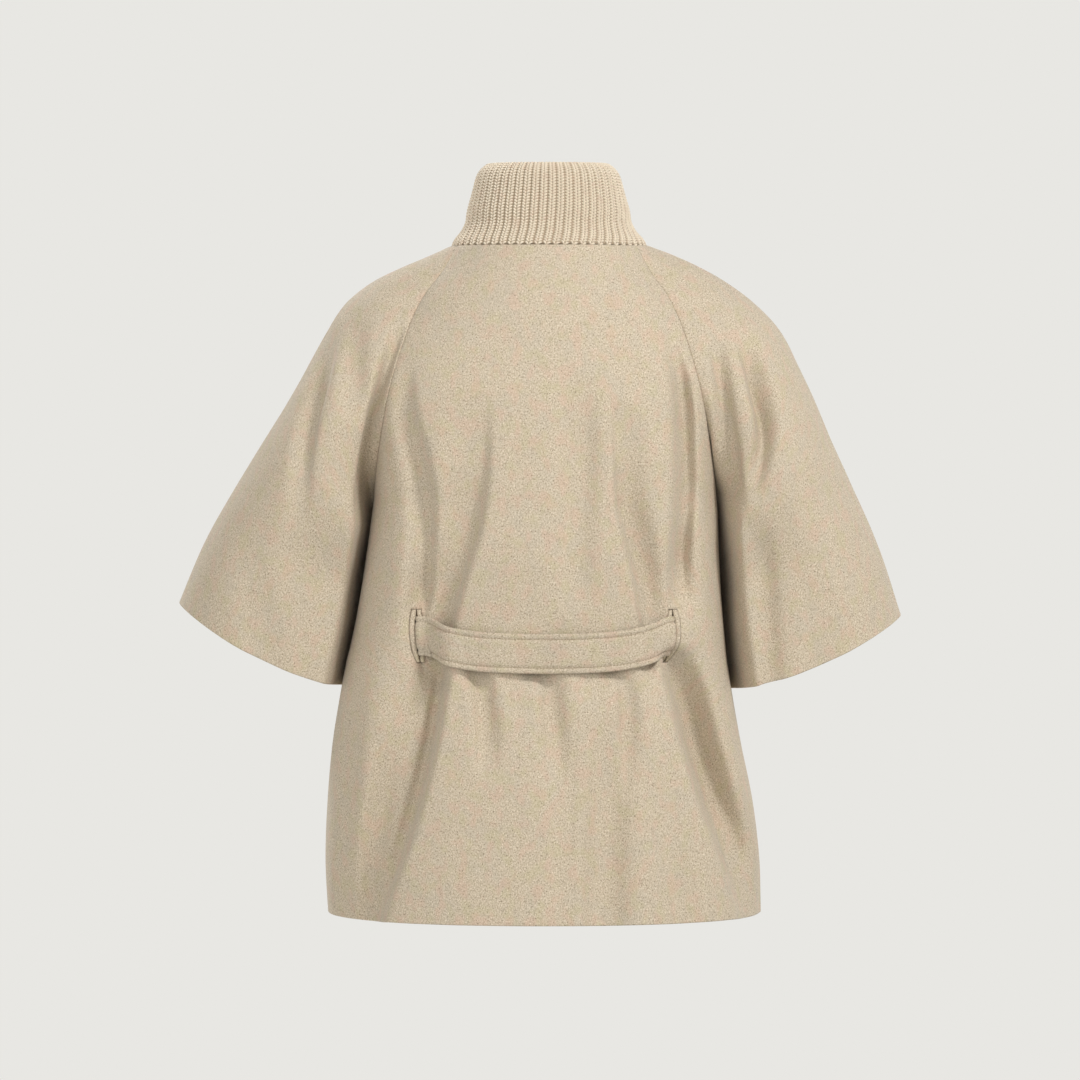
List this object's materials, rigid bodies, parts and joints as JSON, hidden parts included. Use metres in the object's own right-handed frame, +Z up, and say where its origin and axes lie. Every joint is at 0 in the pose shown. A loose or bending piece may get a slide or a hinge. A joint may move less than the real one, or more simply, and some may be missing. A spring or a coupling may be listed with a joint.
{
  "type": "poncho jacket",
  "caption": "Worn, hollow poncho jacket in wool cloth with raglan cape sleeves, a rib-knit stand collar, a buttoned front and a back belt that comes out of bound slits.",
  "frame": {"origin": "middle of the neck opening at the height of its seam on the shoulders", "axes": "+X to the wearer's left, -Y to the garment's front, +Z up"},
  "size_m": [0.729, 0.325, 0.7464],
  "materials": {
    "wool_cloth": "heathered beige wool cloth with a soft nap",
    "rib_knit": "chunky rib knit in the same beige yarn",
    "horn_button": "dark horn-like, half gloss"
  },
  "bodies": {
    "root": {"back": "wool_cloth", "front_left": "wool_cloth", "front_right": "wool_cloth", "sleeve_back_left": "wool_cloth", "sleeve_back_right": "wool_cloth", "sleeve_front_left": "wool_cloth", "sleeve_front_right": "wool_cloth", "belt": "wool_cloth", "welt_outer_left": "wool_cloth", "welt_inner_left": "wool_cloth", "welt_outer_right": "wool_cloth", "welt_inner_right": "wool_cloth", "collar": "rib_knit", "button_1": "horn_button", "button_2": "horn_button", "button_3": "horn_button", "button_4": "horn_button"}
  },
  "joints": []
}
